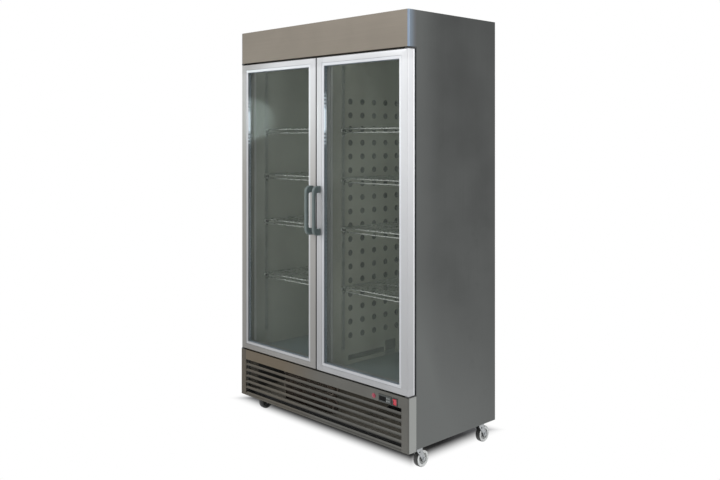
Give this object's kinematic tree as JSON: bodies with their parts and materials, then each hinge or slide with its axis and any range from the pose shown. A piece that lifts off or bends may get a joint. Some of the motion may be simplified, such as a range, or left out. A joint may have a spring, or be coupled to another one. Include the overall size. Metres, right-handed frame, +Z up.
{
  "type": "upright display refrigerator",
  "caption": "Tall glass-door display refrigerator with a central air duct, wire shelves, louvred base cover and swivel castors.",
  "frame": {"origin": "On the floor under the centre of the whole object's box, handles included", "axes": "+Z up, -Y towards the front where the doors open, +X to the right seen from the front"},
  "size_m": [1.2, 0.655, 2],
  "materials": {
    "outer_steel": "satin",
    "galvanised": "satin",
    "foam": "matte",
    "liner": "satin",
    "frame_trim": "satin",
    "coil_aluminium": "satin",
    "coil_copper": "satin",
    "pipe_copper": "satin",
    "black_plastic": "matte",
    "fan_plastic": "satin",
    "standard_steel": "satin",
    "shelf_wire": "gloss",
    "lamp_white": "gloss",
    "cover_steel": "satin",
    "display": "gloss",
    "button_grey": "satin",
    "lamp_red": "gloss",
    "compressor_black": "gloss",
    "mount_rubber": "matte",
    "wheel_nylon": "satin",
    "door_frame": "satin",
    "door_glass": "gloss",
    "spacer": "satin",
    "seal": "matte",
    "handle": "satin"
  },
  "bodies": {
    "cabinet": {"side_panel_left": "outer_steel", "side_panel_right": "outer_steel", "top_panel": "outer_steel", "bottom_panel": "galvanised", "back_panel": "galvanised", "insulation": "foam", "liner_walls": "liner", "liner_ceiling": "liner", "liner_floor": "liner", "front_frame": "frame_trim", "air_duct": "liner", "evaporator_coil": "coil_aluminium", "evaporator_fan_housing": "black_plastic", "shelf_standards": "standard_steel", "shelf_clips": "black_plastic", "shelves_left": "shelf_wire", "shelves_right": "shelf_wire", "interior_lamps": "lamp_white", "fascia": "cover_steel", "base_cover": "cover_steel", "thermostat_bezel": "black_plastic", "thermostat_display": "display", "pilot_lamp": "lamp_red", "switch_bezel": "black_plastic", "hinge_brackets": "galvanised", "compressor": "compressor_black", "compressor_mounts": "mount_rubber", "condenser_coil": "coil_copper", "condenser_shroud": "galvanised", "refrigerant_pipes": "pipe_copper", "drip_tray": "black_plastic", "chassis": "galvanised", "rear_grille": "galvanised", "cable_gland": "black_plastic", "castor_plates": "galvanised"},
    "evaporator_rotor": {"evaporator_fan_rotor": "fan_plastic"},
    "button_1": {"thermostat_button_1": "button_grey"},
    "button_2": {"thermostat_button_2": "button_grey"},
    "button_3": {"thermostat_button_3": "button_grey"},
    "button_4": {"thermostat_button_4": "button_grey"},
    "rocker": {"switch_rocker": "lamp_red"},
    "condenser_rotor": {"condenser_fan_rotor": "fan_plastic"},
    "fork_front_left": {"castor_fork_front_left": "galvanised"},
    "fork_front_right": {"castor_fork_front_right": "galvanised"},
    "fork_rear_left": {"castor_fork_rear_left": "galvanised"},
    "fork_rear_right": {"castor_fork_rear_right": "galvanised"},
    "wheel_front_left": {"castor_wheel_front_left": "wheel_nylon"},
    "wheel_front_right": {"castor_wheel_front_right": "wheel_nylon"},
    "wheel_rear_left": {"castor_wheel_rear_left": "wheel_nylon"},
    "wheel_rear_right": {"castor_wheel_rear_right": "wheel_nylon"},
    "door_left": {"door_frame_left": "door_frame", "door_glass_left": "door_glass", "door_spacer_left": "spacer", "door_gasket_left": "seal", "door_handle_left": "handle"},
    "door_right": {"door_frame_right": "door_frame", "door_glass_right": "door_glass", "door_spacer_right": "spacer", "door_gasket_right": "seal", "door_handle_right": "handle"}
  },
  "joints": [
    {"name": "door_left_hinge", "type": "hinge", "parent": "cabinet", "child": "door_left", "pos_m": [-0.585, -0.2545, 1.0855], "axis": [0, 0, -1], "range_deg": [0, 100]},
    {"name": "door_right_hinge", "type": "hinge", "parent": "cabinet", "child": "door_right", "pos_m": [0.585, -0.2545, 1.0855], "axis": [0, 0, 1], "range_deg": [0, 100]},
    {"name": "evaporator_fan_spin", "type": "hinge", "parent": "cabinet", "child": "evaporator_rotor", "pos_m": [0, -0.1085, 1.868], "axis": [0, 0, 1], "continuous": true},
    {"name": "condenser_fan_spin", "type": "hinge", "parent": "cabinet", "child": "condenser_rotor", "pos_m": [-0.17, -0.1145, 0.198], "axis": [0, -1, 0], "continuous": true},
    {"name": "thermostat_button_1_press", "type": "slide", "parent": "cabinet", "child": "button_1", "axis": [0, 1, 0], "range_m": [0, 0.001], "stiffness_N_per_m": 300},
    {"name": "thermostat_button_2_press", "type": "slide", "parent": "cabinet", "child": "button_2", "axis": [0, 1, 0], "range_m": [0, 0.001], "stiffness_N_per_m": 300},
    {"name": "thermostat_button_3_press", "type": "slide", "parent": "cabinet", "child": "button_3", "axis": [0, 1, 0], "range_m": [0, 0.001], "stiffness_N_per_m": 300},
    {"name": "thermostat_button_4_press", "type": "slide", "parent": "cabinet", "child": "button_4", "axis": [0, 1, 0], "range_m": [0, 0.001], "stiffness_N_per_m": 300},
    {"name": "power_switch_rock", "type": "hinge", "parent": "cabinet", "child": "rocker", "pos_m": [0.521, -0.2775, 0.303], "axis": [-1, 0, 0], "range_deg": [0, 14]},
    {"name": "castor_swivel_front_left", "type": "hinge", "parent": "cabinet", "child": "fork_front_left", "pos_m": [-0.556, -0.1815, 0.085], "axis": [0, 0, 1], "continuous": true},
    {"name": "castor_swivel_front_right", "type": "hinge", "parent": "cabinet", "child": "fork_front_right", "pos_m": [0.556, -0.1815, 0.085], "axis": [0, 0, 1], "continuous": true},
    {"name": "castor_swivel_rear_left", "type": "hinge", "parent": "cabinet", "child": "fork_rear_left", "pos_m": [-0.556, 0.2575, 0.085], "axis": [0, 0, 1], "continuous": true},
    {"name": "castor_swivel_rear_right", "type": "hinge", "parent": "cabinet", "child": "fork_rear_right", "pos_m": [0.556, 0.2575, 0.085], "axis": [0, 0, 1], "continuous": true},
    {"name": "castor_roll_front_left", "type": "hinge", "parent": "fork_front_left", "child": "wheel_front_left", "pos_m": [-0.556, -0.1535, 0.0375], "axis": [1, 0, 0], "continuous": true},
    {"name": "castor_roll_front_right", "type": "hinge", "parent": "fork_front_right", "child": "wheel_front_right", "pos_m": [0.556, -0.1535, 0.0375], "axis": [1, 0, 0], "continuous": true},
    {"name": "castor_roll_rear_left", "type": "hinge", "parent": "fork_rear_left", "child": "wheel_rear_left", "pos_m": [-0.556, 0.2855, 0.0375], "axis": [1, 0, 0], "continuous": true},
    {"name": "castor_roll_rear_right", "type": "hinge", "parent": "fork_rear_right", "child": "wheel_rear_right", "pos_m": [0.556, 0.2855, 0.0375], "axis": [1, 0, 0], "continuous": true}
  ]
}
